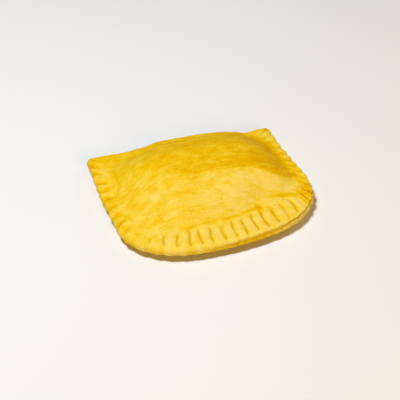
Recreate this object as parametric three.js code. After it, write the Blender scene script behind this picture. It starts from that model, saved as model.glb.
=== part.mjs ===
// A baked turnover pastry: one sheet of dough folded over its filling, with the fold along the back
// and the other three sides pressed shut with a fork. Millimetres, +Z up, +X along the fold, +Y to the fold.
import * as THREE from "three";

// ---------- driving dimensions ----------
const domeHeight = 24.8; // highest point of the filled middle
const rimUnderside = 4.8; // the sealed rim stands this far clear of the surface
const rimThickness = 5.8; // two layers of dough, pressed together
const creaseHeight = 11.4; // top of the crease between rim and dome
const foldMiddle = 8.6; // height of the outermost line of the fold
const foldTop = 17; // where the fold's round back meets the dome
const foldDepth = 6; // depth of the round back, seen from above
const foldBow = 2.7; // the fold bulges back this far past its two ends
const leftEar = [20, 62]; // flattened corner at the left end of the fold: flat up to, fully round from
const rightEar = [12, 28];
const earNotch = { from: 27, width: 12, depth: 3.8 }; // the fold draws in beside its right end
const crimpDepth = 1.2;
const pillowHeight = 0.7; // swell of the dough between two marks
const scallop = 0.8; // wave of the rim's outline at the marks
const seamDepth = 1.3; // groove between the two layers, round the rim's edge
const lowerLip = 1.5; // the lower layer stands out at the front right corner

// Plan of the three sealed sides, from the left end of the fold round the front to its right end:
// the rim's outer edge, and the crease where the rim meets the dome.
const stations = [
  { rim: [-76, 57.5], crease: [-63, 47] },
  { rim: [-75, 36], crease: [-66.5, 33] },
  { rim: [-73.5, 12], crease: [-65, 12] },
  { rim: [-70.5, -12], crease: [-62.5, -8] },
  { rim: [-66, -35], crease: [-56, -24] },
  { rim: [-52.4, -50.8], crease: [-45, -33] },
  { rim: [-30, -59.3], crease: [-27, -37] },
  { rim: [-4, -60], crease: [-4, -34.5] },
  { rim: [22, -56.8], crease: [20, -31] },
  { rim: [45, -50], crease: [40, -21.5] },
  { rim: [62, -40.3], crease: [57, -22] },
  { rim: [73.6, -25], crease: [66.5, -14] },
  { rim: [77.8, -6.5], crease: [67.8, 0] },
  { rim: [73, 20], crease: [64.5, 20] },
  { rim: [69, 41], crease: [61, 39] },
  { rim: [66, 61.1], crease: [54, 50.5] },
];
const summit = new THREE.Vector2(1, 22); // plan position of the dome's middle

// Where things happen on the way round the sealed sides, as shares of their length.
const leftSideEnd = [0.24, 0.3];
const frontStart = [0.32, 0.46];
const frontEnd = [0.66, 0.74];
const gapeStart = [0.52, 0.66];
const gapeEnd = [0.74, 0.84];

const smooth = (a, b, x) => THREE.MathUtils.smoothstep(x, a, b);
const ramp = ([a, b], x) => smooth(a, b, x);
const mix = THREE.MathUtils.lerp;

// Same value for the same number, between -1 and 1: the unsteady hand that held the fork.
const unevenSpacing = 5; // where in that row of values the spacing and the strength of the marks start
const unevenStrength = 50;
function wobble(n) {
  const x = Math.sin(n * 12.9898 + 4.1414) * 43758.5453;
  return 2 * (x - Math.floor(x)) - 1;
}

// ---------- plan ----------
const flat = ([x, y]) => new THREE.Vector2(x, y);
const sealed = {
  rim: new THREE.SplineCurve(stations.map((s) => flat(s.rim))),
  crease: new THREE.SplineCurve(stations.map((s) => flat(s.crease))),
};
const leftEnd = stations[0];
const rightEnd = stations.at(-1);
const sealedLength = sealed.rim.getLength();
const foldLength = flat(rightEnd.rim).distanceTo(flat(leftEnd.rim));

// The rim and crease points that face each other, at a share of the sealed rim's length.
function sealedPlace(share) {
  const t = sealed.rim.getUtoTmapping(share);
  return { rim: sealed.rim.getPoint(t), crease: sealed.crease.getPoint(t) };
}

// How far the fold is its full round self, over x: not at all at its two flattened ends.
function foldnessOver(x) {
  const fromRight = ((rightEnd.rim[0] - x) / (rightEnd.rim[0] - leftEnd.rim[0])) * foldLength;
  return ramp(rightEar, fromRight) * ramp(leftEar, foldLength - fromRight);
}

// The rim and crease points of the fold, at a share of the way from its right end to its left one.
function foldPlace(share) {
  const foldness = foldnessOver(mix(rightEnd.rim[0], leftEnd.rim[0], share));
  const rim = flat(rightEnd.rim).lerp(flat(leftEnd.rim), share);
  const besideEar = (foldLength * share - earNotch.from) / earNotch.width;
  rim.y += foldBow * foldness - earNotch.depth * Math.exp(-besideEar * besideEar);
  const behindDome = rim.clone();
  behindDome.y -= foldDepth;
  const crease = flat(rightEnd.crease).lerp(flat(leftEnd.crease), share).lerp(behindDome, foldness);
  return { rim, crease, foldness };
}

// ---------- sectors: the cuts round the outline that every ring of the mesh shares ----------
const cellCuts = [0, 0.12, 0.5, 0.86]; // a mark, its near shoulder, the swell and the far shoulder
const foldCuts = 30;

const onFront = (share) => ramp(frontStart, share) * (1 - ramp(frontEnd, share));

// How firmly the fork was pressed: lightly down the left, hardly at the front left corner and
// firmly from there on.
const pressure = (share) => 0.08 + 0.4 * (1 - ramp(leftSideEnd, share)) + 0.92 * ramp(frontStart, share);

// From one fork mark to the next: wider down the left than on the front and the right.
const crimpPitch = (share) => 10.3 - 1.7 * ramp(frontStart, share) - 0.2 * ramp(frontEnd, share);

const shortestCell = 4; // another mark only where this much is left at the end

// The marks' places, as shares of the sealed length, the last one at its end.
function crimpMarks() {
  const marks = [0];
  while ((1 - marks.at(-1)) * sealedLength > shortestCell) {
    const last = marks.at(-1);
    marks.push(last + (crimpPitch(last) * (1 + 0.1 * wobble(marks.length + unevenSpacing))) / sealedLength);
  }
  return marks.map((mark) => mark / marks.at(-1));
}

function makeSectors() {
  const marks = crimpMarks();
  const sectors = [];
  for (let cell = 0; cell < marks.length - 1; cell++) {
    for (const cut of cellCuts) {
      const share = mix(marks[cell], marks[cell + 1], cut);
      const strength = pressure(share) * (1 + 0.25 * wobble(cell + unevenStrength));
      const swell = Math.sin(Math.PI * cut);
      sectors.push({ ...sealedPlace(share), share, marked: cut === 0, swell, strength, foldness: 0 });
    }
  }
  for (let i = 0; i < foldCuts; i++) {
    const along = i / foldCuts;
    sectors.push({ ...foldPlace(along), share: 1 - along, marked: false, swell: 0, strength: 0 });
  }
  return sectors;
}

// ---------- section across the rim ----------
// inset is 0 at the rim's edge and 1 at the crease. On the fold the same rows make its round back:
// turn is the share of that back, from its outermost line up to the dome.
const rimRows = [
  { inset: 1, turn: 1 },
  { inset: 0.85, turn: 0.89 },
  { inset: 0.7, turn: 0.78 },
  { inset: 0.48, turn: 0.66 },
  { inset: 0.27, turn: 0.54 },
  { inset: 0.14, turn: 0.42 },
  { inset: 0.03, turn: 0.3 },
];
const edgeRounding = 0.7;
const foldTurn = THREE.MathUtils.degToRad(40);

// Height of the fork's work over the plain rim. On the front the marks stop short of the rim's edge.
function crimpRelief(sector, inset) {
  const inner = 1 - smooth(0.7, 0.86, inset);
  const outer = mix(1, smooth(0.12, 0.28, inset), onFront(sector.share));
  if (sector.marked) return -crimpDepth * sector.strength * inner * outer;
  return pillowHeight * sector.swell * sector.strength * (1 - smooth(0.8, 1, inset));
}

function scallopAt(sector) {
  return scallop * (2 * sector.swell - 1) * sector.strength * (1 - 0.7 * onFront(sector.share));
}

function planAt(sector, inset, outward = 0) {
  const across = sector.rim.clone().sub(sector.crease).normalize();
  const point = sector.rim.clone().lerp(sector.crease, inset);
  return point.addScaledVector(across, outward + scallopAt(sector) * Math.max(0, 1 - 2 * inset));
}

function foldPoint(turn) {
  const angle = turn * foldTurn;
  const rise = Math.sin(angle) / Math.sin(foldTurn);
  return {
    inset: (1 - Math.cos(angle)) / (1 - Math.cos(foldTurn)),
    height: foldMiddle + rise * (turn < 0 ? foldMiddle - 0.5 : foldTop - foldMiddle),
  };
}

function sectionPoint(sector, flange, turn) {
  const round = foldPoint(turn);
  const inset = mix(flange.inset, round.inset, sector.foldness);
  const plan = planAt(sector, inset, (flange.outward || 0) * (1 - sector.foldness));
  return new THREE.Vector3(plan.x, plan.y, mix(flange.height, round.height, sector.foldness));
}

// How far the two layers gape at the edge: most at the front right corner.
const gape = (share) => ramp(gapeStart, share) * (1 - ramp(gapeEnd, share));

// The rim, row by row: from the crease over the edge and back to the crease underneath.
function rimRings(sectors) {
  const rimTop = rimUnderside + rimThickness;
  const upper = rimRows.map(({ inset, turn }) =>
    sectors.map((sector) => {
      const rounding = inset < 0.1 ? edgeRounding : 0;
      const height = mix(rimTop, creaseHeight, inset) - rounding + crimpRelief(sector, inset);
      return sectionPoint(sector, { inset, height }, turn);
    }),
  );
  const edgeRow = (inset, level, outward, turn) =>
    sectors.map((sector) => {
      const height = rimUnderside + level * rimThickness;
      return sectionPoint(sector, { inset, height, outward: outward(gape(sector.share)) }, turn);
    });
  return [
    ...upper,
    edgeRow(0, 0.66, () => 0, 0.15),
    edgeRow(0, 0.46, (open) => -seamDepth * mix(0.25, 1, open), 0),
    edgeRow(0, 0.26, (open) => lowerLip * open, -0.25),
    edgeRow(0.08, 0, (open) => lowerLip * open, -0.5),
    edgeRow(0.5, -0.06, () => 0, -0.75),
    edgeRow(1, -0.2, () => 0, -1),
  ];
}

// ---------- dome and belly ----------
// Bulges and hollows of the filling: plan position, radius, height.
const lumps = [
  { x: 26, y: 14, radius: 26, height: 0.8 },
  { x: -32, y: 22, radius: 22, height: 0.6 },
  { x: -14, y: -8, radius: 16, height: -0.7 },
  { x: 50, y: -10, radius: 12, height: 0.6 },
  { x: 31, y: -22, radius: 6, height: -0.8 },
  { x: -48, y: 0, radius: 14, height: -0.6 },
];

function lumpHeight(x, y) {
  return lumps.reduce((sum, l) => {
    const away = Math.hypot(x - l.x, y - l.y) / l.radius;
    return sum + l.height * Math.exp(-away * away);
  }, 0);
}

// The crease's four sides as lines that can be read off: left and right give x over y,
// front and back y over x.
const creaseLine = sealed.crease.getPoints(20 * (stations.length - 1));
const creasePart = (from, to) => creaseLine.slice(20 * from, 20 * to + 1);
const foldLine = Array.from({ length: 61 }, (_, i) => foldPlace(i / 60).crease);
const sides = {
  left: { line: creasePart(0, 6).reverse(), over: "y", give: "x" },
  front: { line: creasePart(2, 12), over: "x", give: "y" },
  right: { line: creasePart(10, 15), over: "y", give: "x" },
  back: { line: foldLine.reverse(), over: "x", give: "y" },
};

function readOff({ line, over, give }, value) {
  const next = line.findIndex((p) => p[over] > value);
  if (next < 0) return line.at(-1)[give];
  if (next === 0) return line[0][give];
  const [a, b] = [line[next - 1], line[next]];
  return mix(a[give], b[give], (value - a[over]) / (b[over] - a[over]));
}

// How far in from each side the dome keeps rising, and how full it is on the way.
const slopes = {
  left: { run: 42, fullness: 1.9 },
  gentleFront: { run: 52, fullness: 2 },
  steepFront: { run: 34, fullness: 2.1 },
  right: { run: 30, fullness: 1.8 },
  back: { run: 26, fullness: 2 },
};
const frontSteepens = [-10, 45]; // over x: the front is gentle up to, steep from

const creaseRadius = 2.5; // the dome leaves the rim in a small hollow curve

function rise({ run, fullness }, inFromSide) {
  const eased = Math.hypot(Math.max(0, inFromSide), creaseRadius) - creaseRadius;
  return 1 - Math.pow(1 - Math.min(1, eased / run), fullness);
}

function heightOfDome(x, y) {
  const behindFront = y - readOff(sides.front, x);
  const beforeFold = readOff(sides.back, x) - y;
  const gentle = rise(slopes.gentleFront, behindFront);
  const front = mix(gentle, rise(slopes.steepFront, behindFront), ramp(frontSteepens, x));
  const swell =
    front *
    rise(slopes.left, x - readOff(sides.left, y)) *
    rise(slopes.right, readOff(sides.right, y) - x) *
    rise(slopes.back, beforeFold);
  const foot = mix(creaseHeight, foldTop, foldnessOver(x) * (1 - smooth(0, slopes.back.run, beforeFold)));
  return mix(foot, domeHeight, swell) + lumpHeight(x, y) * smooth(0, 0.5, swell);
}

function domeRing(sectors, reach) {
  return sectors.map((sector) => {
    const { x, y } = summit.clone().lerp(sector.crease, reach);
    return new THREE.Vector3(x, y, heightOfDome(x, y));
  });
}

const bellyFlat = 0.74; // share of the crease's outline that lies on the surface

function bellyRing(sectors, reach, from) {
  return sectors.map((sector, i) => {
    const plan = summit.clone().lerp(sector.crease, reach);
    const lift = Math.pow(Math.max(0, (reach - bellyFlat) / (1 - bellyFlat)), 1.7);
    return new THREE.Vector3(plan.x, plan.y, from[i].z * lift);
  });
}

// ---------- mesh ----------
const positions = [];
const faces = [];

function addRing(points) {
  const first = positions.length / 3;
  for (const p of points) positions.push(p.x, p.y, p.z);
  return points.map((_, i) => first + i);
}

// Two triangles between each pair of neighbours, split the same way all round.
function joinRings(outer, inner) {
  outer.forEach((a, i) => {
    const j = (i + 1) % outer.length;
    faces.push(a, outer[j], inner[j], a, inner[j], inner[i]);
  });
}

// From a ring to one with half as many points.
function joinHalved(outer, inner) {
  inner.forEach((a, i) => {
    const b = inner[(i + 1) % inner.length];
    const left = outer[2 * i];
    const middle = outer[2 * i + 1];
    const right = outer[(2 * i + 2) % outer.length];
    faces.push(left, middle, a, middle, b, a, middle, right, b);
  });
}

function joinPoint(ring, point) {
  ring.forEach((a, i) => faces.push(a, ring[(i + 1) % ring.length], point));
}

// Rings from the crease to the middle, with half the sectors after the second. The last is a single point.
function cap(sectors, crease, edge, reaches, makeRing) {
  const half = sectors.filter((_, i) => i % 2 === 0);
  const halfCrease = crease.filter((_, i) => i % 2 === 0);
  let last = edge;
  reaches.forEach((reach, n) => {
    if (n < 2) {
      const ring = addRing(makeRing(sectors, reach, crease));
      joinRings(last, ring);
      last = ring;
    } else if (reach > 0) {
      const ring = addRing(makeRing(half, reach, halfCrease));
      if (n === 2) joinHalved(last, ring);
      else joinRings(last, ring);
      last = ring;
    } else {
      joinPoint(last, addRing(makeRing([half[0]], 0, [halfCrease[0]]))[0]);
    }
  });
}

function buildPastry() {
  const sectors = makeSectors();
  const rings = rimRings(sectors);
  const ids = rings.map(addRing);
  for (let i = 1; i < ids.length; i++) joinRings(ids[i], ids[i - 1]);
  cap(sectors, rings[0], ids[0], [0.95, 0.89, 0.82, 0.74, 0.66, 0.57, 0.47, 0.36, 0.24, 0.12, 0], domeRing);
  const under = faces.length;
  cap(sectors, rings.at(-1), ids.at(-1), [0.92, 0.83, 0.74, 0.45, 0], bellyRing);
  for (let i = under; i < faces.length; i += 3) [faces[i + 1], faces[i + 2]] = [faces[i + 2], faces[i + 1]];

  const geometry = new THREE.BufferGeometry();
  geometry.setAttribute("position", new THREE.Float32BufferAttribute(positions, 3));
  geometry.setIndex(faces);
  geometry.computeBoundingBox();
  const middle = geometry.boundingBox.getCenter(new THREE.Vector3());
  geometry.translate(-middle.x, -middle.y, 0); // the origin lies under the middle of the whole
  geometry.computeVertexNormals();
  return geometry;
}

const crust = new THREE.MeshStandardMaterial({ color: 0xf2c53a, roughness: 0.55, metalness: 0 });
const patty = new THREE.Mesh(buildPastry(), crust);
patty.name = "patty";

const part = new THREE.Group();
part.add(patty);

export default part;
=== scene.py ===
# A whole baked patty: one sheet of dough folded over its filling, with the fold along the back and
# the other three sides pressed shut with a fork. Shapes are worked out in millimetres, as in the solid.
import math
import bmesh
import bpy
import numpy as np
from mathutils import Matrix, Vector, noise


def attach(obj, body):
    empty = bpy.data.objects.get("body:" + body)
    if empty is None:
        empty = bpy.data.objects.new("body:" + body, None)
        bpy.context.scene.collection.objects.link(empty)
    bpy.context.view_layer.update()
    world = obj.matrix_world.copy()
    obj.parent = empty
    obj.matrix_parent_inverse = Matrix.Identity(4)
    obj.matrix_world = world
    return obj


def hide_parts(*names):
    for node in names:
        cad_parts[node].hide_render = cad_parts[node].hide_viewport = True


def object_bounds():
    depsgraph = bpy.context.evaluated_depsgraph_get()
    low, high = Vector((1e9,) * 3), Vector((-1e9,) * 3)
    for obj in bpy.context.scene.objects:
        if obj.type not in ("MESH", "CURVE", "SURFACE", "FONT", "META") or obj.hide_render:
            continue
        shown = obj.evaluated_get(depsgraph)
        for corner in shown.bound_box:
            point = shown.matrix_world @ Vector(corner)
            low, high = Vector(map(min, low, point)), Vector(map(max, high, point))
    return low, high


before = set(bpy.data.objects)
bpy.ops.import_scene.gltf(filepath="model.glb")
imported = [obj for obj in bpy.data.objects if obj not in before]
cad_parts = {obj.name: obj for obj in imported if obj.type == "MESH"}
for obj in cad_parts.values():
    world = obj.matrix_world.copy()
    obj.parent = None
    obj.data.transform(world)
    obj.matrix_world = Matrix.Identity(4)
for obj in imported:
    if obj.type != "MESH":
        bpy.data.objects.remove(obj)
cadLow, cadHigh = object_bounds()
mm = 0.001
print("frame loaded:", sorted(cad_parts))


# the patty's sizes
patty = {
    "domeHeight": 24.8,  # highest point of the filled middle
    "rimUnderside": 4.8,  # the sealed rim stands this far clear of the table
    "rimThickness": 5.8,  # two layers of dough
    "creaseHeight": 11.4,  # top of the crease between rim and dome
    "foldMiddle": 8.6,  # height of the outermost line of the fold
    "foldTop": 17.0,  # where the fold's round back meets the dome
    "foldBottom": 0.5,
    "foldDepth": 6.0,
    "foldBow": 2.7,  # how far its middle stands out behind its ends
    "foldTurn": 40.0,  # degrees from the outermost line up to the dome
    "leftEar": (20.0, 62.0),  # flat up to, and a full round fold from, this far along the fold
    "rightEar": (12.0, 28.0),
    "earNotch": (27, 12, 3.8),  # the fold draws in beside its right end: where, how wide, how deep
    "summit": (1.0, 22.0),
    # the rim's outer edge and the crease inside it, from the fold's left end round the front
    "stations": [  # pairs of rim and crease
        ((-76, 57.5), (-63, 47)),
        ((-75, 36), (-66.5, 33)),
        ((-73.5, 12), (-65, 12)),
        ((-70.5, -12), (-62.5, -8)),
        ((-66, -35), (-56, -24)),
        ((-52.4, -50.8), (-45, -33)),
        ((-30, -59.3), (-27, -37)),
        ((-4, -60), (-4, -34.5)),
        ((22, -56.8), (20, -31)),
        ((45, -50), (40, -21.5)),
        ((62, -40.3), (57, -22)),
        ((73.6, -25), (66.5, -14)),
        ((77.8, -6.5), (67.8, 0)),
        ((73, 20), (64.5, 20)),
        ((69, 41), (61, 39)),
        ((66, 61.1), (54, 50.5)),
    ],
    "sides": {"left": (0, 6), "front": (2, 12), "right": (10, 15)},  # the stations that each side runs over
    # how far in from each side the dome keeps rising, and how full it is on the way
    "left": (42, 1.9),
    "gentleFront": (52, 2.0),
    "steepFront": (34, 2.1),
    "right": (30, 1.8),
    "back": (26, 2.0),
    "frontSteepens": (-10, 45),  # between these places along the front
    "creaseRadius": 2.5,
    "tipPasses": (22, 7),  # how often the outline is evened out at the fold's left end, and at its right one
    "tipReach": 10,  # over this many points to each side
    "flatBelly": 0.74,  # share of the way out to the crease that lies flat underneath
    "bellyCurve": 1.7,
    "lumps": [  # bulges and hollows of the filling: x, y, radius, height
        (26, 14, 26, 0.8),
        (-32, 22, 22, 0.6),
        (-14, -8, 16, -0.7),
        (50, -10, 12, 0.6),
        (31, -22, 6, -0.8),
        (-48, 0, 14, -0.6),
    ],
    "crimpDepth": 1.15,
    "pillowHeight": 0.75,  # swell of the dough between two marks
    "scallop": 0.75,  # wave of the rim's outline at the marks
    # layers of noise in the rim's outline and in its edge: strength, length, width, seed
    "uneven": [(0.7, 5, 5, 41.9)],
    "ragged": [(1, 2.6, 2.6, 11.3), (1, 9, 9, 4.7)],
    "sideCuts": 200,  # steps of the mesh down each side
    "frontCuts": 240,  # and along the front, and along the fold
    "rimRows": 20,
    "bellyKept": 0.12,  # share of the underside's faces that stay
    "pinch": ((41.0, 51.0), 11, 90),  # evened out where the right ear meets the fold: where, radius, passes
}


def ramp(a, b, x):
    t = np.clip((np.asarray(x, float) - a) / (b - a), 0, 1)
    return t * t * (3 - 2 * t)


def mix(a, b, share):
    return a + (b - a) * share


def wobble(n):  # the same value for the same number, between -1 and 1: the unsteady hand with the fork
    x = math.sin(n * 12.9898 + 4.1414) * 43758.5453
    return 2 * (x - math.floor(x)) - 1


def grainNoise(x, y, z, seed):  # smooth noise, one value for each point
    points = np.column_stack(np.broadcast_arrays(x, y, z)) + seed
    return np.array([noise.noise(Vector(p)) for p in points])


def noises(layers, x, y):  # the sum of layers of smooth noise: strength, length, width, seed
    return sum(strength * grainNoise(x / long, y / wide, 0, seed) for strength, long, wide, seed in layers)


def splinePoints(points, t):
    p = np.array(points, float)
    s = np.clip(t, 0, 1) * (len(p) - 1)
    i = np.minimum(s.astype(int), len(p) - 2)
    w = (s - i)[:, None]
    before, a, b, after = p[np.maximum(i - 1, 0)], p[i], p[i + 1], p[np.minimum(i + 2, len(p) - 1)]
    slopeA, slopeB = (b - before) / 2, (after - a) / 2
    cubic = 2 * a - 2 * b + slopeA + slopeB
    square = 3 * b - 3 * a - 2 * slopeA - slopeB
    return ((cubic * w + square) * w + slopeA) * w + a


# plan: the sectors that every row of the mesh shares
rimPoints, creasePoints = zip(*patty["stations"])
fine = np.linspace(0, 1, 6001)
steps = np.linalg.norm(np.diff(splinePoints(rimPoints, fine), axis=0), axis=1)
alongFine = np.concatenate([[0], np.cumsum(steps)])
sealedLength = alongFine[-1]
sealedCuts = 2 * patty["sideCuts"] + patty["frontCuts"]
foldCuts = patty["frontCuts"]

sealedShare = np.arange(sealedCuts) / sealedCuts
t = np.interp(sealedShare * sealedLength, alongFine, fine)
sealedRim, sealedCrease = splinePoints(rimPoints, t), splinePoints(creasePoints, t)

rightRim, leftRim = np.array(rimPoints[-1], float), np.array(rimPoints[0], float)
rightCrease, leftCrease = np.array(creasePoints[-1], float), np.array(creasePoints[0], float)
foldLength = np.linalg.norm(rightRim - leftRim)


def foldnessOver(x):  # how far the fold is its full round self: not at all at its two flattened ends
    fromRight = (rightRim[0] - x) / (rightRim[0] - leftRim[0]) * foldLength
    return ramp(*patty["rightEar"], fromRight) * ramp(*patty["leftEar"], foldLength - fromRight)


def foldPlaces(along):  # along runs from the fold's right end to its left one
    along = along[:, None]
    foldness = foldnessOver(mix(rightRim[0], leftRim[0], along))
    where, wide, deep = patty["earNotch"]
    notch = deep * np.exp(-(((foldLength * along - where) / wide) ** 2))
    foldRim = mix(rightRim, leftRim, along) + (foldness * patty["foldBow"] - notch) * [0, 1]
    behindDome = foldRim - [0, patty["foldDepth"]]
    foldCrease = mix(mix(rightCrease, leftCrease, along), behindDome, foldness)
    return foldRim, foldCrease, foldness[:, 0]


foldShare = np.arange(foldCuts) / foldCuts
foldRim, foldCrease, foldFoldness = foldPlaces(foldShare)
rim = np.concatenate([sealedRim, foldRim])
crease = np.concatenate([sealedCrease, foldCrease])
share = np.concatenate([sealedShare, 1 - foldShare])
sealed = np.arange(len(rim)) < sealedCuts
foldness = np.concatenate([np.zeros(sealedCuts), foldFoldness])
for tip, passes in zip((0, sealedCuts), patty["tipPasses"]):  # the fold's two ends are rounded off
    near = (tip + np.arange(-patty["tipReach"], patty["tipReach"] + 1)) % len(rim)
    for _ in range(passes):
        rim[near] = (rim[(near - 1) % len(rim)] + 2 * rim[near] + rim[(near + 1) % len(rim)]) / 4
across = rim - crease
width = np.linalg.norm(across, axis=1)
across /= width[:, None]
mmAlong = share * sealedLength  # distance round the sealed sides

# where each feature sets in and fades out, as shares of the way round from the left ear
stretches = {
    "front": (0.32, 0.42, 0.68, 0.76),
    "right": (0.74, 0.8),
    "layers": (0.42, 0.55),  # the two layers begin to show in the edge
    "lip": (0.52, 0.66, 0.74, 0.84),  # the lower layer stands out
    "gape": (0.6, 0.67, 0.75, 0.8),  # and the two part
    "unforked": (0.688, 0.696, 0.79, 0.82),  # the front right corner
    "lighter": (0.24, 0.3),  # the fork was pressed in less from here
    "firmer": (0.3, 0.39),  # and firmly from here
    "leftEnds": (0.27, 0.33),  # the left side passes into the front
    "sharp": (0.27, 0.36),  # the marks are narrow grooves from here, soft dips before
    "longer": (0.3, 0.42),  # they reach further in
    "setBack": (0.28, 0.34),  # they stop short of the edge
    "nearer": (0.5, 0.62),  # and less so from here
}


def stretch(name):  # 1 on that stretch of the sealed sides, 0 well outside it
    setsIn, *fadesOut = np.reshape(stretches[name], (-1, 2))
    inside = ramp(*setsIn, share)
    for fades in fadesOut:
        inside = inside * (1 - ramp(*fades, share))
    return inside * sealed


onFront, onRight, lipOut, gape = stretch("front"), stretch("right"), stretch("lip"), stretch("gape")
layered = mix(0.1, 1, ramp(*stretches["layers"], share)) * (1 - 0.6 * onRight)
pressure = 0.25 + 0.25 * (1 - ramp(*stretches["lighter"], share)) + 0.75 * ramp(*stretches["firmer"], share)
pressure = pressure * sealed


# fork marks
fork = {
    "pitch": 10.3,  # mm from one mark to the next down the left side
    "closer": ((1.7, 0.32, 0.46), (0.2, 0.66, 0.74)),  # by how much, and over which shares of the way round
    "lastGap": 4.0,  # no mark follows this close to the right ear
    "uneven": 0.1,  # share by which the spacing varies
    "crownPower": 2.2,  # a higher power makes the swell between two marks flatter
    "grooveWidth": 0.45,
    "valleyWidth": (1.6, 2.2),  # of the dip round a sharp mark, and of a soft one
    "valleyDepth": (0.45, 1.5),  # on the front and right, and on the left
    # painted shade in the dips round the marks: on the front and right, and on the left
    "valleyShade": (0.25, 1.1),
    "inward": (9, 20),  # the marks' inner ends, mm in from the edge: on the left, and from the front on
    "inwardMost": 0.8,  # share of the rim's width
    "outward": (-2, 4.6, 3.1),  # their outer ends: at both sides, and from left to right along the front
    "hook": (0.9, 4.0, 1.5),  # the inner ends bend aside: how far, over how many mm, most
    "sway": (0.5, 2.6),  # how far a mark wavers, and how fast
}


def forkMarks():
    marks = [0.0]
    while (1 - marks[-1]) * sealedLength > fork["lastGap"]:
        last = marks[-1]
        pitch = fork["pitch"] - sum(less * ramp(a, b, last) for less, a, b in fork["closer"])
        marks.append(last + pitch * (1 + fork["uneven"] * wobble(len(marks) + 5)) / sealedLength)
    return np.array(marks) / marks[-1]


marks = forkMarks()
cell = np.interp(share, marks, np.arange(len(marks)))
pillow = 1 - np.abs(2 * (cell - np.floor(cell)) - 1) ** fork["crownPower"]  # 0 at a mark, 1 midway
markEnd = mix(*fork["inward"], ramp(*stretches["longer"], share))
markEnd = np.minimum(fork["inwardMost"] * width, markEnd)
markStart = mix(*fork["outward"][1:], ramp(*stretches["nearer"], share))
markStart = mix(fork["outward"][0], markStart, ramp(*stretches["setBack"], share) * (1 - onRight))
onLeft = 1 - ramp(*stretches["leftEnds"], share)
sharp = ramp(*stretches["sharp"], share) * (1 - 0.9 * onRight)
unforked = stretch("unforked")


# For one row of points at a depth from the rim's edge: height of the fork's work, painted shade in the dips
# round the marks, and how far it lies in a narrow groove, where the grooves get painted shade.
def forkWork(depth):
    groove = np.zeros(len(rim))
    valley = np.zeros(len(rim))
    valleyWidth = mix(*fork["valleyWidth"], 1 - sharp)
    bend, bendLength, mostBent = fork["hook"]
    waver, waverLength = fork["sway"]
    for n, mark in enumerate(marks):
        strength = 1 + 0.25 * wobble(n + 50)
        start = markStart + 0.8 * wobble(n + 7)
        end = markEnd + 1.3 * wobble(n + 19)
        nearEnd = np.clip((depth - end + bendLength) / bendLength, 0, mostBent)
        hook = bend * nearEnd**2 * (1 + 1.6 * wobble(n + 31))
        sway = waver * np.sin(depth / waverLength + 3 * wobble(n + 44))
        aside = mmAlong - mark * sealedLength - hook - sway
        reach = ramp(start - 1, start + 1, depth) * (1 - ramp(end - 1.5, end + 1.5, depth)) * strength
        reach *= 1 - 0.9 * unforked
        groove += reach * np.exp(-((aside / fork["grooveWidth"]) ** 2))
        valley += reach * np.exp(-((aside / valleyWidth) ** 2))
    swelling = ramp(markStart - 2, markStart + 2, depth) * (1 - ramp(markEnd - 3, markEnd + 4, depth))
    dip = sharp * groove + mix(*fork["valleyDepth"], onLeft) * valley
    height = patty["pillowHeight"] * pillow * swelling - patty["crimpDepth"] * dip
    # painted shade in the dips round the marks
    dark = mix(*fork["valleyShade"], onLeft) * valley
    return height * pressure, dark * pressure, sharp * groove * pressure


scallop = patty["scallop"] * (2 * pillow - 1) * pressure * (1 - 0.75 * onFront) * (1 - 0.45 * onRight)
scallop += noises(patty["uneven"], *rim.T) * sealed * (1 - 0.6 * onFront)
raggedFine, raggedWide = [noises([layer], *rim.T) for layer in patty["ragged"]]


# section across the rim
edge = {
    "topRound": 1.0,  # radius of the upper layer's edge
    "lowerRound": 1.2,  # and of the lower one's
    "plainRounds": (3.6, 1.8),  # the same where no layers show and the edge is one round surface
    "leanBack": 0.7,  # the layered edge leans back a little
    "seamAt": (0.6, 0.2),  # where the layers meet, as a share of the way down, and the same at the gape
    "seamDepth": 0.3,
    "gapeDepth": 1.3,  # the layers part this deep at the front right corner
    "lowerLip": 1.2,  # and the lower one stands out this far there
    # the layered edge is darker than the top: baked colour, with painted shade below the upper layer
    "baked": 0.5,  # how much darker the layered edge is than the top
    # painted shade in the gap where the two layers part
    "gapShade": 1.2,
    # painted highlight on the lower lip where it stands out at the gape
    "lipHighlight": (0.95, 0.7),  # the lower lip's upright part, and its round one
    "topAngles": (74, 50, 26, 4),  # degrees, one row each
    "upperRows": ((0.3, 0.9), (0.6, 0.65), (0.84, 0.45)),  # share of the way to the seam, share of the lean
    "lowerRows": ((0.05, 0.1), (0.2, 0.05), (0.5, -0.1), (0.85, -0.1)),  # share of the rest, mm inwards
    "lowerAngles": (-10, -34, -60),
    "underRows": ((0.14, -0.42), (0.35, -0.6), (0.65, -0.8), (1, -1)),  # share of the way in, turn
}
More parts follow.
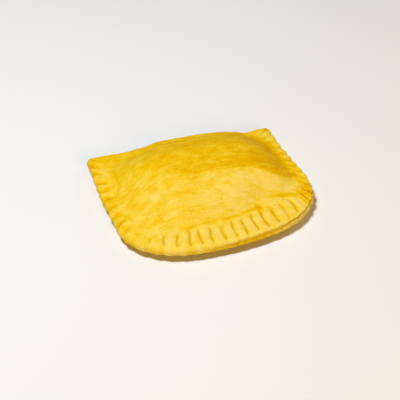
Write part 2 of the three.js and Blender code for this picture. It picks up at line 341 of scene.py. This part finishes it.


# Rows from the crease on top, over the edge and back to the crease underneath. Each row gives the depth in
# from the edge and the height, how baked it is with painted shade and highlights mixed in, how far it lies
# in a groove (where painted shade goes), and turn, its place on the fold's round back.
def flangeRows():
    rimTop = patty["rimUnderside"] + patty["rimThickness"]
    upper = mix(edge["plainRounds"][0], edge["topRound"], layered)
    lower = mix(edge["plainRounds"][1], edge["lowerRound"], layered)
    lean = edge["leanBack"] * layered * (1 - gape)
    # the layered edge's band: baked colour, with painted shade below the upper layer
    golden = (edge["baked"] + 0.35 * raggedWide) * layered
    rows = []
    for j in range(patty["rimRows"] + 1):
        inset = 1 - j / patty["rimRows"]
        depth = upper + lean + (width - upper - lean) * inset
        work, dark, crevice = forkWork(depth)
        height = mix(rimTop, patty["creaseHeight"], inset) + work
        # the grooves are painted darker in the bake level as well: painted shade
        rows.append((depth, height, dark + 0.35 * crevice, crevice, 1 - 0.7 * j / patty["rimRows"]))
    topWork, topDark = rows[-1][1] - rimTop, rows[-1][2]
    seam = mix(*edge["seamAt"], gape) + 0.06 * raggedWide
    upperEnd, lowerEnd = rimTop - upper, patty["rimUnderside"] + lower
    for k, angle in enumerate(edge["topAngles"]):
        a = math.radians(angle)
        depth = upper - upper * np.cos(a) + lean + (0.28 * raggedFine + 0.2 * raggedWide) * layered
        height = upperEnd + upper * np.sin(a) + topWork * (1 - k / 6)
        # paler near the top of the upper layer's edge: a painted highlight along its ragged line
        dark = (mix(-0.25, 0, k / 3) + 0.3 * raggedFine) * layered + topDark * (1 - k / 5)
        rows.append((depth, height, dark, 0, 0.27 - 0.04 * k))
    lip = edge["lowerLip"] * lipOut
    for k, (part, inward) in enumerate(edge["upperRows"]):
        depth = inward * lean + (0.2 * raggedFine + 0.3 * raggedWide) * layered
        rows.append((depth, mix(upperEnd, lowerEnd, part * seam), golden, 0, 0.12 - 0.04 * k))
    seamDepth = mix((edge["seamDepth"] + 0.4 * raggedWide) * layered, edge["gapeDepth"], gape)
    # the seam a little darker, and painted shade in the gape
    seamDark = golden + 0.1 * layered + edge["gapShade"] * gape
    rows.append((seamDepth, mix(upperEnd, lowerEnd, seam), seamDark, 0, 0.02))
    for k, (part, inward) in enumerate(edge["lowerRows"]):
        depth = (inward + 0.2 * raggedFine) * layered - lip * (0.6 + 0.4 * part)
        height = mix(upperEnd, lowerEnd, mix(seam, 1, part))
        # painted highlight on the lower lip's upright part
        rows.append((depth, height, golden - edge["lipHighlight"][0] * gape, 0, -0.01 - 0.04 * k))
    for k, angle in enumerate(edge["lowerAngles"]):
        a = math.radians(angle)
        depth = lower - lower * np.cos(a) - lip + 0.15 * raggedFine * layered
        # painted highlight on the lower lip's round part
        dark = golden - edge["lipHighlight"][1] * gape
        rows.append((depth, lowerEnd + lower * np.sin(a), dark, 0, -0.18 - 0.08 * k))
    for inset, turn in edge["underRows"]:
        height = patty["rimUnderside"] - 0.9 * inset + 0.25 * raggedWide * inset
        rows.append((width * inset + lower, height, 0.3 + 0 * width, 0, turn))
    return rows


def foldSection(turn):
    whole = math.radians(patty["foldTurn"])
    angle = turn * whole
    rise = math.sin(angle) / math.sin(whole)
    farEnd = patty["foldBottom"] if turn < 0 else patty["foldTop"]
    depth = patty["foldDepth"] * (1 - math.cos(angle)) / (1 - math.cos(whole))
    return depth, patty["foldMiddle"] + rise * abs(farEnd - patty["foldMiddle"])


def rowPoints(row):
    depth, height, _, _, turn = row
    foldIn, foldHeight = foldSection(turn)
    nearEdge = np.maximum(0, 1 - 2 * depth / width)  # the scallops fade out halfway in
    depth = mix(depth - scallop * nearEdge, foldIn, foldness)
    plan = rim - across * depth[:, None]
    return np.column_stack([plan, mix(height, foldHeight, foldness)])


# dome and belly: heights over any point of the plan
def creaseLine(side):
    first, last = patty["sides"][side]
    end = len(creasePoints) - 1
    return splinePoints(creasePoints, np.linspace(first / end, last / end, 20 * (last - first) + 1))


leftLine, frontLine, rightLine = creaseLine("left")[::-1], creaseLine("front"), creaseLine("right")
backLine = foldPlaces(np.linspace(0, 1, 61))[1][::-1]


def rise(side, inFromSide):
    run, fullness = patty[side]
    eased = np.hypot(np.maximum(inFromSide, 0), patty["creaseRadius"]) - patty["creaseRadius"]
    return 1 - (1 - np.minimum(eased / run, 1)) ** fullness


def domeHeight(x, y):
    behindFront = y - np.interp(x, frontLine[:, 0], frontLine[:, 1])
    beforeFold = np.interp(x, backLine[:, 0], backLine[:, 1]) - y
    steep = ramp(*patty["frontSteepens"], x)
    swell = mix(rise("gentleFront", behindFront), rise("steepFront", behindFront), steep)
    swell *= rise("left", x - np.interp(y, leftLine[:, 1], leftLine[:, 0]))
    swell *= rise("right", np.interp(y, rightLine[:, 1], rightLine[:, 0]) - x)
    swell *= rise("back", beforeFold)
    nearFold = foldnessOver(x) * (1 - ramp(0, patty["back"][0], beforeFold))
    foot = mix(patty["creaseHeight"], patty["foldTop"], nearFold)
    filling = 0.0
    for a, b, radius, lump in patty["lumps"]:
        filling += lump * np.exp(-((x - a) ** 2 + (y - b) ** 2) / radius**2)
    return mix(foot, patty["domeHeight"], swell) + filling * ramp(0, 0.5, swell)


summit = np.array(patty["summit"])
creaseAngle = np.arctan2(crease[:, 1] - summit[1], crease[:, 0] - summit[0])
creaseOrder = np.argsort(creaseAngle)


def overAngle(values, angle):
    return np.interp(angle, creaseAngle[creaseOrder], values[creaseOrder], period=2 * math.pi)


def bellyHeight(x, y, creaseZ):
    angle = np.arctan2(y - summit[1], x - summit[0])
    creaseReach = overAngle(np.linalg.norm(crease - summit, axis=1), angle)
    reach = np.hypot(x - summit[0], y - summit[1]) / creaseReach
    lifted = np.clip((reach - patty["flatBelly"]) / (1 - patty["flatBelly"]), 0, 1)
    return overAngle(creaseZ, angle) * lifted ** patty["bellyCurve"]


# building the mesh
def selectOnly(bm, verts):
    for element in (*bm.faces, *bm.edges, *bm.verts):
        element.select = False
    bm.select_history.clear()
    for vert in verts:
        vert.select = True
    bm.select_flush_mode()


def extrudeRow(mesh, ring, points):
    bpy.ops.mesh.extrude_region_move()
    bm = bmesh.from_edit_mesh(mesh)
    bm.verts.ensure_lookup_table()
    count = len(bm.verts) - len(ring)
    new = []
    for index in ring:
        vert = bm.verts[index]
        neighbours = [link.other_vert(vert).index for link in vert.link_edges]
        new.append(next(n for n in neighbours if n >= count))
    for index, point in zip(new, points):
        bm.verts[index].co = Vector(point) * mm
    bmesh.update_edit_mesh(mesh)
    return new


def fillRing(mesh, ring, heightOf):
    bm = bmesh.from_edit_mesh(mesh)
    bm.verts.ensure_lookup_table()
    before = len(bm.verts)
    selectOnly(bm, [bm.verts[i] for i in ring])
    bm.select_history.add(bm.verts[ring[0]])
    bmesh.update_edit_mesh(mesh)
    bpy.ops.mesh.fill_grid(span=patty["sideCuts"], offset=0, use_interp_simple=True)
    bm = bmesh.from_edit_mesh(mesh)
    bm.verts.ensure_lookup_table()
    new = bm.verts[before:]
    plan = np.array([v.co[:2] for v in new]) / mm
    for vert, z in zip(new, heightOf(plan[:, 0], plan[:, 1])):
        vert.co.z = z * mm
    bmesh.update_edit_mesh(mesh)
    return [v.index for v in new]


bpy.ops.object.select_all(action="DESELECT")
rows = flangeRows()
bpy.ops.mesh.primitive_circle_add(vertices=len(rim), radius=0.07)
piece = bpy.context.object
piece.name = piece.data.name = "patty_crust"
for vert, point in zip(piece.data.vertices, rowPoints(rows[0])):
    vert.co = Vector(point) * mm
bpy.ops.object.mode_set(mode="EDIT")
bpy.ops.mesh.select_all(action="SELECT")
rings = [list(range(len(rim)))]
for row in rows[1:]:
    rings.append(extrudeRow(piece.data, rings[-1], rowPoints(row)))
bottom = rowPoints(rows[-1])[:, 2]
fillRing(piece.data, rings[0], domeHeight)
bellyVerts = fillRing(piece.data, rings[-1], lambda x, y: bellyHeight(x, y, bottom))
bm = bmesh.from_edit_mesh(piece.data)
where, radius, passes = patty["pinch"]
above = [v for v in bm.verts if v.co.z > patty["foldMiddle"] * mm]
selectOnly(bm, [v for v in above if math.dist(v.co.xy / mm, where) < radius])
bmesh.update_edit_mesh(piece.data)
bpy.ops.mesh.vertices_smooth(factor=0.5, repeat=passes)
bpy.ops.mesh.select_all(action="SELECT")
bpy.ops.mesh.normals_make_consistent(inside=False)
bpy.ops.object.mode_set(mode="OBJECT")
bpy.ops.object.shade_smooth()
print("mesh:", len(piece.data.vertices), "points", len(piece.data.polygons), "faces")


# skin: wrinkles, streaks and blisters, pushed out along the normals
skin = {
    # layers of noise: strength in mm, length, width, seed
    "swell": [(0.3, 17, 13, 2.1)],
    "streaks": [(0.14, 9, 1.8, 7.3), (0.098, 4.5, 1.1, 21.9)],  # stretch marks along the fold
    "blisters": [(0.1, 1.9, 1.7, 33.3), (0.06, 3.7, 3.3, 51.3)],
    "belly": [(0.12, 6, 6, 5.5)],
    "leaves": (0.16, (5, 5, 0.8), 15.1),  # of dough that show in the edge: strength, size, seed
    "grain": (12, 1.3, 4),  # size of the finest streaks along the fold, across it and upwards
    # the streaks bend down with the dough at both ends: by how much, over which x, over which y
    "bends": [(6.5, (26, 60), (38, 0)), (14, (-18, -68), (34, 8))],
    "browSides": (1.6, 5),  # half width of the ridge's steep front and of its gentle back
    "browDip": (0.3, 3.5, 2.5),  # the hollow in front of it: share of its height, place, half width
    # soft ridge where the flat top turns down to the front: x, y, height
    "brow": [(-52, -5, 0.1), (-40, -1, 0.2), (-20, 0.5, 0.2), (-5, 2, 0.2), (10, 1.5, 0.25), (22, 1.5, 0.35),
             (32, 1.8, 0.5), (40, -1, 0.6), (47, -5.5, 0.6), (55, -7.5, 0.5), (62, -5, 0.4), (67, 0, 0.2)],
    # single dents and folds: x, y, half length, half width, degrees from the fold's line, height
    "marks": [
        (33, -27.5, 5, 1.5, 100, -0.4),
        (28.5, -29.5, 4.5, 1.2, 40, -0.3),
        (18, -32.5, 10, 1.6, 14, -0.45),
        (-4, -37.5, 9, 1.8, -6, -0.35),
        (51, -22, 8, 1.2, -4, -0.35),
        (-31, -10.5, 3.6, 1.1, 18, -0.3),
        (-24, -8.5, 4, 1.4, 8, -0.25),
        (-28.5, -33, 1.8, 0.8, 0, -0.22),
        (-44, -21, 1.2, 0.9, 0, -0.2),
        (-7, -14, 3, 0.9, 5, -0.15),
        (2.5, 11.8, 1.2, 1.0, 0, -0.25),
        (-2, 13.2, 1.6, 1.2, 0, 0.2),
        (-64.5, -7, 9, 2.0, 36, 0.75),
        (-66, -15, 9, 1.6, 46, -0.8),
        (-62, -19, 8, 1.8, 46, 0.65),
        (-64, -26, 6, 1.6, 50, -0.55),
        (-53, -13, 6, 2.0, 20, -0.3),
        (-66.3, 32, 10, 2.2, 90, 0.9),
        (-64, 18, 4, 1.4, 120, 0.7),
        (-62, 44, 7, 2.2, 62, 0.6),
        (-64, 9, 8, 1.6, 60, -0.7),
        (0, 30.5, 14, 0.8, 4, 0.16),
        (19, 33, 5, 0.9, 38, 0.2),
        (23, 18, 7, 1.3, -6, 0.2),
        (-30, 4, 8, 1.8, 3, 0.2),
        (58, 30, 6, 2.5, 60, -0.3),
        (55, 8, 4, 3, 30, -0.35),
        (67.9, -2, 4, 0.7, 92, -0.6),
        (62, -14, 7, 1.0, -12, 0.3),
        (58, -17.5, 8, 0.9, -6, 0.25),
        (67, -17.4, 3, 0.8, 60, 0.6),
        # folds that fan out over the front right corner
        (73.5, -13.2, 3.4, 0.6, 3, -0.65),
        (73.2, -16.6, 3.6, 0.6, -8, -0.65),
        (72.3, -20.3, 3.8, 0.7, -22, -0.8),
        (71, -24.2, 4.4, 0.7, -40, -0.75),
        (69, -27, 5.5, 0.7, -58, -0.95),
        (66.2, -29.8, 6.2, 0.6, -57, -0.75),
    ],
}


def spot(x, y, a, b, long, short, degrees):  # 1 at a, b, the middle of a long soft spot, 0 well outside
    c, s = math.cos(math.radians(degrees)), math.sin(math.radians(degrees))
    dx, dy = x - a, y - b
    return np.exp(-(((dx * c + dy * s) / long) ** 2) - ((dy * c - dx * s) / short) ** 2)


browX, browY, browHeight = np.array(skin["brow"], float).T


def belowBrow(x, y):  # distance in front of the ridge, mm
    return np.interp(x, browX, browY) - y


def flow(x, y):  # distance across the streaks
    return y + sum(bend * ramp(*overX, x) * ramp(*overY, y) for bend, overX, overY in skin["bends"])


def skinHeight(x, y):
    height = noises(skin["swell"], x, y) + noises(skin["streaks"], x, flow(x, y))
    height += noises(skin["blisters"], x, y)
    below = belowBrow(x, y)
    before, behind = skin["browSides"]
    brow = np.exp(-((below / np.where(below > 0, before, behind)) ** 2))
    depth, inFront, reach = skin["browDip"]
    brow -= depth * np.exp(-(((below - inFront) / reach) ** 2))
    height += np.interp(x, browX, browHeight) * brow
    for *place, h in skin["marks"]:
        height += h * spot(x, y, *place)
    return height


def readVectors(name):
    values = np.zeros(count * 3)
    mesh.vertices.foreach_get(name, values)
    return values.reshape(-1, 3)


mesh = piece.data
count = len(mesh.vertices)
co, normal = readVectors("co") / mm, readVectors("normal")
onBelly = np.zeros(count, bool)
onBelly[bellyVerts] = True
onBelly[np.concatenate(rings[-4:])] = True
middle = (co.min(0) + co.max(0)) / 2
co[:, :2] -= middle[:2] - (np.array(cadLow[:2]) + np.array(cadHigh[:2])) / 2 / mm  # centred, as the solid is
x, y, z = co.T
onTop = ramp(0.1, 0.6, normal[:, 2]) * ~onBelly
onEdge = np.zeros(count)
onEdge[np.concatenate(rings[patty["rimRows"] + 1 : -4])] = 1
strength, size, seed = skin["leaves"]
lift = skinHeight(x, y) * onTop + strength * grainNoise(*(co / size).T, seed) * onEdge
lift[onBelly] = noises(skin["belly"], x[onBelly], y[onBelly]) * ramp(0.4, 2.5, z[onBelly])
print("skin pushed out by", round(lift.min(), 2), "to", round(lift.max(), 2), "mm")


# how far each part of the crust is baked: 0 pale, 1 deep gold, more where it is toasted; the same level also
# carries painted shade in grooves, creases, folds and the gape, and painted highlights on pillows, ridges
# and edges
bake = {
    "top": (0.58, 0.95),  # at the left, and at the right
    "front": (0.42, 0.26),
    "browBlur": (9, 2.2),  # mm over which the top's level passes into the front's
    "rim": (0.5, 0.24, 0.68),  # left, front and right
    # painted highlight on the swell between two marks
    "pillowHighlight": (0.4, 0.16),  # the swell between two marks: at the sides, and along the front
    "fold": 0.92,
    "underside": 0.95,
    "softened": (1.1, 0.65),  # what lies above this level is brought down by this share
    # layers of noise: strength, length, width, seed
    "warp": [(2.2, 9, 4, 8.8)],  # mm that the patches are pushed aside
    "streaks": [(0.22, 8, 2, 7.3), (0.2, 4, 1.4, 3.1), (0.34, 9, 5, 17.7)],
    "specks": [(0.16, 2.4, 1.8, 61.7)],
    "blotches": [(0.35, 4, 4, 27.1), (0.2, 9, 7, 71.3)],
    "trayMarks": [(0.25, 8, 8, 12.1), (0.12, 2.5, 2.5, 9.2)],
    # pale and golden patches: x, y, half length, half width, degrees, change
    "patches": [
        (-30, 3.5, 10, 2.6, 3, -0.42),
        (-33, -7.5, 7, 3, 10, -0.22),
        (-45, 12, 10, 6, 0, -0.1),
        (23, 17.5, 9, 1.8, -6, -0.42),
        (-2, 13, 6, 2.2, 0, -0.28),
        (12, 12.5, 8, 1.0, 0, -0.12),
        (31, 6, 3, 1.2, 0, -0.3),
        (44, 13, 4, 2.5, 50, -0.2),
        (0, 30.5, 16, 1.0, 4, -0.2),
        (16, 31.5, 6, 1.2, 30, -0.25),
        (-56, 27, 8, 4, 10, -0.14),
        (20, -15, 22, 4.5, 3, -0.14),
        (12, -22, 16, 4, 4, -0.12),
        (50, -11, 14, 2.0, -3, -0.18),
        # painted highlights on the ridges at the left
        (-66.3, 32, 10, 2.4, 90, -0.4),
        (-64, 18, 4, 1.6, 120, -0.4),
        (-56, 25, 9, 2.2, 100, 0.3),
        # a painted highlight on the ridge here too
        (-64, -7, 9, 2.4, 36, -0.28),
        (-45, -36, 9, 6, -30, -0.12),
        (60, 22, 8, 2.0, 58, -0.12),
        (59, 50, 8, 4, -40, -0.45),
        (62, 56, 4, 3, 0, 0.2),
        (-20, -12, 9, 4, 0, 0.26),
        (-50, -13.5, 6, 2.4, 20, 0.24),
        (-63, -19, 9, 3, 50, 0.2),
        # painted shade in the dent here
        (-64, 9, 9, 2.2, 62, 0.25),
        (-61, 27, 6, 3, 80, 0.2),
        (-42, 24, 8, 3, 0, 0.16),
        (-2, -7, 14, 5, 3, 0.2),
        (57, 5, 5, 3.5, 40, 0.1),
        (57, 26, 24, 6, 104, 0.4),
        (42, 42, 14, 6, -24, 0.35),
        (53, 13, 4, 4, 0, 0.12),
        (71, -18, 6, 11, 10, 0.72),
        (66, -21, 4, 4, 0, 0.35),
        # painted shade in the dent at the right crease and in the folds fanning over the front right corner,
        # with a painted highlight on the raised fold between them
        (67.9, -2, 4, 0.9, 92, 0.75),
        (67, -17.4, 3, 1.0, 60, -0.35),
        (73.5, -13.2, 3.4, 0.8, 3, 0.4),
        (73.2, -16.6, 3.6, 0.8, -8, 0.2),
        (72.3, -20.3, 3.8, 1.1, -22, 0.35),
        (71, -24.2, 4.4, 0.8, -40, 0.4),
        (69, -27, 5.5, 1.0, -58, 0.75),
        (66.2, -29.8, 6.2, 0.8, -57, 0.8),
        # painted shade in the crease along the front and in its dents
        (32, -29, 5, 2.6, 80, 0.95),
        (24, -31.4, 9, 1.7, 20, 0.75),
        (8, -35.5, 9, 1.7, 16, 0.6),
        (-8, -36.5, 9, 1.9, 8, 0.6),
        (-23, -41, 5, 2.2, 35, 0.55),
        (4, -40, 3, 2, 60, 0.4),
        (52, -21.5, 11, 1.7, -4, 0.8),
        (40, 8, 16, 6, -10, 0.42),
        (-70, 50, 12, 8, 0, 0.44),
        (-70, 6, 5, 44, 6, 0.2),
        (35, 31, 12, 4, -20, 0.08),
        (-5, 39, 24, 4, -8, 0.08),
    ],
}


def bakeAndPaintedLightLevel():
    warp = noises(bake["warp"], x, y)
    top = mix(*bake["top"], ramp(-50, -6, x + 0.7 * (y - 10)))
    front = mix(*bake["front"], ramp(-24, 14, x))
    blur = mix(*bake["browBlur"], ramp(-20, 34, x))
    level = mix(top, front, ramp(-blur, blur, belowBrow(x, y) + warp))
    uneven = noises(bake["streaks"], x, flow(x, y)) + noises(bake["specks"], x, y)
    rimZone = np.zeros(count)
    rimBakeAndHighlight = np.zeros(count)
    left, middle, right = bake["rim"]
    flange = mix(mix(left, middle, ramp(0.28, 0.4, share)), right, ramp(0.7, 0.76, share))
    # the rim's baked colour, with a painted highlight on the swell between marks
    flange -= mix(*bake["pillowHighlight"], onFront) * pillow * pressure
    flange = mix(flange, bake["fold"], foldness)
    for n, ring in enumerate(rings[:-4]):
        rimZone[ring] = ramp(0, 6, n) * (1 - foldness * ramp(16, 6, n))
        rimBakeAndHighlight[ring] = flange
    blotches = noises(bake["blotches"], x, y)
    level = mix(level, rimBakeAndHighlight, rimZone * 0.85) + mix(uneven, 0.3 * uneven + blotches, rimZone)
    wx, wy = x + 0.8 * warp * (1 - rimZone), y + 0.5 * warp * (1 - rimZone)
    for *place, change in bake["patches"]:
        level += change * spot(wx, wy, *place)
    softAbove, softened = bake["softened"]
    level -= softened * np.maximum(level - softAbove, 0) * (1 - rimZone)
    for ring, row in zip(rings[:-4], rows[:-4]):
        level[ring] += row[2] * (1 - foldness)
    under = bake["underside"] + noises(bake["trayMarks"], x, y)
    level = mix(level, under, ramp(-0.2, -0.75, normal[:, 2]))
    return level, np.maximum(rimZone, 0.6 * ramp(10, -35, x))  # the streaks fade to the left


level, calm = bakeAndPaintedLightLevel()
# painted shade in the narrow grooves of the fork marks, for each point
crevice = np.zeros(count)
for ring, row in zip(rings, rows):
    crevice[ring] = row[3] * (1 - foldness)
grain = np.column_stack([x, flow(x, y), z]) / skin["grain"]
for name, values in (("bake", level), ("calm", calm), ("crevice", crevice)):
    mesh.attributes.new(name, "FLOAT", "POINT").data.foreach_set("value", values)
mesh.attributes.new("grain", "FLOAT_VECTOR", "POINT").data.foreach_set("vector", grain.ravel())
print("bake from", round(level.min(), 2), "to", round(level.max(), 2))

co += normal * lift[:, None]
co[:, 2] = np.maximum(co[:, 2], 0)
mesh.vertices.foreach_set("co", (co * mm).ravel())
mesh.update()

# fewer faces underneath, where the crust is smooth
bpy.ops.object.mode_set(mode="EDIT")
bm = bmesh.from_edit_mesh(mesh)
bm.verts.ensure_lookup_table()
selectOnly(bm, [bm.verts[i] for i in bellyVerts])
bmesh.update_edit_mesh(mesh)
bpy.ops.mesh.decimate(ratio=patty["bellyKept"])
bpy.ops.mesh.select_all(action="SELECT")
bpy.ops.mesh.normals_make_consistent(inside=False)
bpy.ops.object.mode_set(mode="OBJECT")
print("finished mesh:", sum(len(p.vertices) - 2 for p in mesh.polygons), "triangles")


# materials
def srgb(*levels):  # from 0 to 255 each
    shares = [level / 255 for level in levels]
    linear = [c / 12.92 if c <= 0.04 else ((c + 0.055) / 1.055) ** 2.4 for c in shares]
    return (*linear, 1.0)


class Wire:  # a socket, so that shader maths reads as plain expressions
    def __init__(self, tree, socket=None):
        self.tree = tree
        self.socket = socket

    # any node: its type, its settings, the values or links of its sockets, and which output to give back
    def node(self, kind, settings=(), sockets=(), output=0):
        new = self.tree.nodes.new("ShaderNode" + kind)
        for name, value in dict(settings).items():
            if name == "stops":
                while len(new.color_ramp.elements) < len(value):
                    new.color_ramp.elements.new(0.5)
                for stop, (place, colour) in zip(new.color_ramp.elements, value):
                    stop.position = place
                    stop.color = colour
            else:
                setattr(new, name, value)
        for name, value in dict(sockets).items():
            if isinstance(value, Wire):
                self.tree.links.new(value.socket, new.inputs[name])
            else:
                new.inputs[name].default_value = value
        return Wire(self.tree, new.outputs[output])

    def maths(self, operation, first, second):
        return self.node("Math", {"operation": operation}, {0: first, 1: second})

    def __add__(self, other):
        return self.maths("ADD", self, other)

    def __radd__(self, other):
        return self.maths("ADD", other, self)

    def __sub__(self, other):
        return self.maths("SUBTRACT", self, other)

    def __rsub__(self, other):
        return self.maths("SUBTRACT", other, self)

    def __mul__(self, other):
        return self.maths("MULTIPLY", self, other)

    def __rmul__(self, other):
        return self.maths("MULTIPLY", other, self)


def newMaterial(name):
    material = bpy.data.materials.new(name)
    material.use_nodes = True
    return material, material.node_tree.nodes["Principled BSDF"], Wire(material.node_tree)


crustLook = {
    "colours": [  # how baked, from pale dough to toasted
        (0.0, srgb(250, 221, 104)),
        (0.22, srgb(247, 212, 62)),
        (0.42, srgb(242, 201, 24)),
        (0.62, srgb(237, 188, 2)),
        (0.78, srgb(231, 173, 0)),
        (0.9, srgb(210, 148, 2)),
        (1.0, srgb(176, 106, 4)),
    ],
    "darkest": 1.6,  # the bake level that the last colour stands for
    "specular": 0.03,
    # scale, detail and roughness of the fine noise: the first three follow the grain
    "streaks": (1.0, 4.0, 0.62),
    "hairs": (2.6, 2.0, 0.5),
    "leaves": (0.8, 3.0, 0.55),
    "pores": (900.0, 3.0, 0.6),
    "clouds": (130.0, 2.0, 0.5),
    "bumpDistance": 0.6 * mm,
}


def fineNoise(wire, name, place):
    scale, detail, roughness = crustLook[name]
    sockets = {"Vector": place, "Scale": scale, "Detail": detail, "Roughness": roughness}
    return wire.node("TexNoise", {}, sockets)


def crustMaterial():
    material, shader, wire = newMaterial("crust")
    level = wire.node("Attribute", {"attribute_name": "bake"}, output="Fac")
    along = 1 - wire.node("Attribute", {"attribute_name": "calm"}, output="Fac") * 0.7
    crevice = wire.node("Attribute", {"attribute_name": "crevice"}, output="Fac")
    grain = wire.node("Attribute", {"attribute_name": "grain"}, output="Vector")
    place = wire.node("TexCoord", output="Object")
    streaks, hairs, leaves = [fineNoise(wire, name, grain) for name in ("streaks", "hairs", "leaves")]
    pores, clouds = [fineNoise(wire, name, place) for name in ("pores", "clouds")]
    flakes = wire.maths("MAXIMUM", 1 - wire.maths("ABSOLUTE", leaves - 0.5, 0) * 18, 0) * clouds
    fibres = ((streaks - 0.5) * 0.8 + (hairs - 0.5) * 0.15) * along
    patches = (pores - 0.5) * 0.45 + (clouds - 0.5) * (0.7 - along * 0.25)
    tone = (level + fibres + patches - flakes * along * 0.7) * (1 / crustLook["darkest"])
    tint = wire.node("ValToRGB", {"stops": crustLook["colours"]}, {"Fac": tone})
    # painted shade: the narrow grooves of the fork marks are painted darker
    bright = 0.98 - (pores - 0.5) * 0.25 - (hairs - 0.5) * along * 0.1 - crevice * 0.32
    colour = wire.node("VectorMath", {"operation": "SCALE"}, {0: tint, "Scale": bright})
    relief = (streaks * 0.5 + hairs * 0.3 + flakes * 0.3) * along + pores * 0.5
    bump = wire.node("Bump", {}, {"Height": relief, "Distance": crustLook["bumpDistance"]}, output="Normal")
    rough = 0.42 + 0.2 * pores
    wire.tree.links.new(colour.socket, shader.inputs["Base Color"])
    wire.tree.links.new(rough.socket, shader.inputs["Roughness"])
    wire.tree.links.new(bump.socket, shader.inputs["Normal"])
    shader.inputs["Specular IOR Level"].default_value = crustLook["specular"]
    return material


mesh.materials.append(crustMaterial())
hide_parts("patty")
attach(piece, "root")
print("crust:", len(mesh.materials[0].node_tree.nodes), "shader nodes")

# table, light and camera
tableLook = {"colour": (0.87, 0.91, 0.97, 1), "roughness": 0.7, "specular": 0.2}
bpy.ops.object.select_all(action="DESELECT")
bpy.ops.mesh.primitive_plane_add(size=4)
table = bpy.context.object
table.name = "table"
paint, paintShader, _ = newMaterial("table")
paintShader.inputs["Base Color"].default_value = tableLook["colour"]
paintShader.inputs["Roughness"].default_value = tableLook["roughness"]
paintShader.inputs["Specular IOR Level"].default_value = tableLook["specular"]
table.data.materials.append(paint)

shot = {
    "azimuth": -13.96,
    "elevation": 40.6,
    "distance": 1.0,
    "picture": 400,  # pixels across
    "sensor": 36,
    "focal": 1377.0,  # in pixels
    "aim": (0, 0, 10),
    "aimAt": (204.9, 189.6),  # the pixel where that point is seen
}
a, e = math.radians(shot["azimuth"]), math.radians(shot["elevation"])
back = Vector((math.sin(a) * math.cos(e), -math.cos(a) * math.cos(e), math.sin(e)))
right = Vector((math.cos(a), math.sin(a), 0))
up = back.cross(right)
pixel = shot["distance"] / shot["focal"]
toRight, down = (place - shot["picture"] / 2 for place in shot["aimAt"])
aim = Vector(shot["aim"]) * mm - right * toRight * pixel + up * down * pixel
bpy.ops.object.camera_add(location=aim + back * shot["distance"])
camera = bpy.context.object
camera.rotation_mode = "QUATERNION"
camera.rotation_quaternion = (-back).to_track_quat("-Z", "Y")
camera.data.sensor_width = shot["sensor"]
camera.data.lens = shot["sensor"] * shot["focal"] / shot["picture"]
camera.data.clip_start = 0.01
bpy.context.scene.camera = camera


def softbox(name, direction, distance, size, power, colour):
    where = Vector(direction).normalized() * distance
    bpy.ops.object.light_add(type="AREA", location=where)
    lamp = bpy.context.object
    lamp.name = name
    lamp.rotation_mode = "QUATERNION"
    lamp.rotation_quaternion = (-where).to_track_quat("-Z", "Y")
    lamp.data.shape = "DISK"
    lamp.data.size = size
    lamp.data.energy = power
    lamp.data.color = colour


lights = {  # direction, distance, size, power, colour
    "key": ((-0.32, 0.02, 0.94), 1.2, 0.3, 11.9, (1, 1, 1)),
    "front": ((0.2, -1, 0.45), 1.4, 0.5, 6.2, (1, 0.64, 0.25)),
    "right": ((1, 0.25, 0.6), 1.4, 0.8, 2.9, (1, 0.84, 0.55)),
}
for name, light in lights.items():
    softbox(name, *light)
room = {"colour": (1, 0.74, 0.42, 1), "strength": 0.06}
world = bpy.data.worlds.new("room")
world.use_nodes = True
world.node_tree.nodes["Background"].inputs["Color"].default_value = room["colour"]
world.node_tree.nodes["Background"].inputs["Strength"].default_value = room["strength"]
bpy.context.scene.world = world
bpy.context.scene.view_settings.view_transform = "Standard"
print("lit by:", ", ".join(lights))
